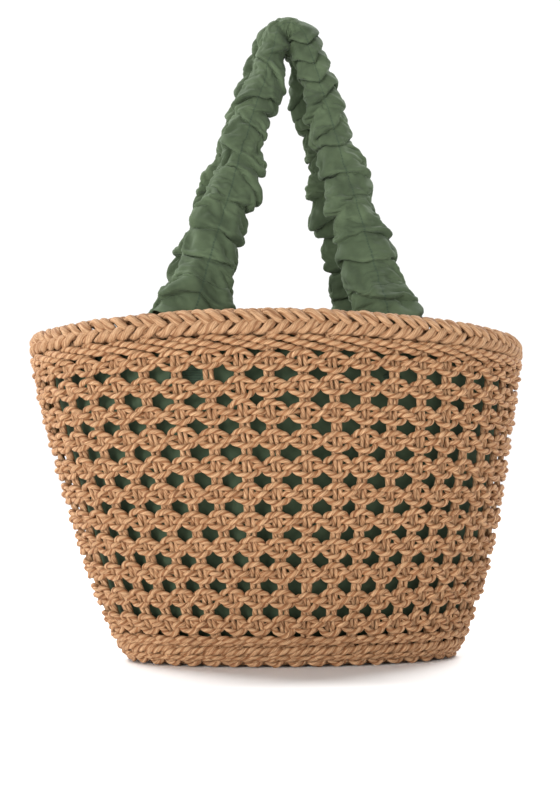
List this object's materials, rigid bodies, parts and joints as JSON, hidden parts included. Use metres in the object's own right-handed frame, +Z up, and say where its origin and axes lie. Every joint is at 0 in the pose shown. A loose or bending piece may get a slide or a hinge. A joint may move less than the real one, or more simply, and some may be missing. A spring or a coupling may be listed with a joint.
{
  "type": "woven rope tote bag",
  "caption": "Oval open-weave rope basket tote with a fabric lining pouch and two gathered fabric handles that fold outward over the rim.",
  "frame": {"origin": "on the floor under the middle of the mouth", "axes": "+Z up, +X along the mouth's length to the right seen from the front, -Y towards the front"},
  "size_m": [0.3997, 0.2398, 0.5279],
  "materials": {
    "paper_cord": "matte",
    "rim_cord": "matte",
    "handle_fabric": "satin",
    "lining_fabric": "satin",
    "handle_rope": "matte",
    "webbing": "matte",
    "thread": "satin"
  },
  "bodies": {
    "root": {"back_sleeve_foot_left": "handle_fabric", "back_sleeve_foot_right": "handle_fabric", "back_strap_end_left": "webbing", "back_strap_end_right": "webbing", "back_tab_stitches_left": "thread", "back_tab_stitches_right": "thread", "base_mat": "paper_cord", "bottom_edge": "paper_cord", "bottom_wale_1": "paper_cord", "bottom_wale_2": "paper_cord", "front_sleeve_foot_left": "handle_fabric", "front_sleeve_foot_right": "handle_fabric", "front_strap_end_left": "webbing", "front_strap_end_right": "webbing", "front_tab_stitches_left": "thread", "front_tab_stitches_right": "thread", "lining_back": "lining_fabric", "lining_floor": "lining_fabric", "lining_front": "lining_fabric", "lining_hem": "lining_fabric", "rim_braid": "rim_cord", "stake_cords": "paper_cord", "top_wale": "paper_cord", "weft_band_01": "paper_cord", "weft_band_02": "paper_cord", "weft_band_03": "paper_cord", "weft_band_04": "paper_cord", "weft_band_05": "paper_cord", "weft_band_06": "paper_cord", "weft_band_07": "paper_cord", "weft_band_08": "paper_cord", "weft_band_09": "paper_cord", "weft_band_10": "paper_cord", "weft_band_11": "paper_cord", "weft_inner_rows": "paper_cord"},
    "front_handle_neck": {"front_neck_rope_left": "handle_rope", "front_neck_rope_right": "handle_rope", "front_neck_sleeve_left": "handle_fabric", "front_neck_sleeve_right": "handle_fabric"},
    "front_handle_loop": {"front_loop_rope": "handle_rope", "front_loop_sleeve": "handle_fabric"},
    "back_handle_neck": {"back_neck_rope_left": "handle_rope", "back_neck_rope_right": "handle_rope", "back_neck_sleeve_left": "handle_fabric", "back_neck_sleeve_right": "handle_fabric"},
    "back_handle_loop": {"back_loop_rope": "handle_rope", "back_loop_sleeve": "handle_fabric"}
  },
  "joints": [
    {"name": "front_neck_fold", "type": "hinge", "parent": "root", "child": "front_handle_neck", "pos_m": [-0.006, -0.08619, 0.27233], "axis": [1, 0, 0], "range_deg": [0, 105]},
    {"name": "front_loop_fold", "type": "hinge", "parent": "front_handle_neck", "child": "front_handle_loop", "pos_m": [-0.006, -0.07636, 0.30904], "axis": [1, 0, 0], "range_deg": [0, 73.5]},
    {"name": "back_neck_fold", "type": "hinge", "parent": "root", "child": "back_handle_neck", "pos_m": [-0.006, 0.08619, 0.27233], "axis": [-1, 0, 0], "range_deg": [0, 105]},
    {"name": "back_loop_fold", "type": "hinge", "parent": "back_handle_neck", "child": "back_handle_loop", "pos_m": [-0.006, 0.07636, 0.30904], "axis": [-1, 0, 0], "range_deg": [0, 73.5]}
  ],
  "couplings": [
    {"joint": "front_loop_fold", "follows": "front_neck_fold", "ratio": 0.7},
    {"joint": "back_loop_fold", "follows": "back_neck_fold", "ratio": 0.7}
  ]
}
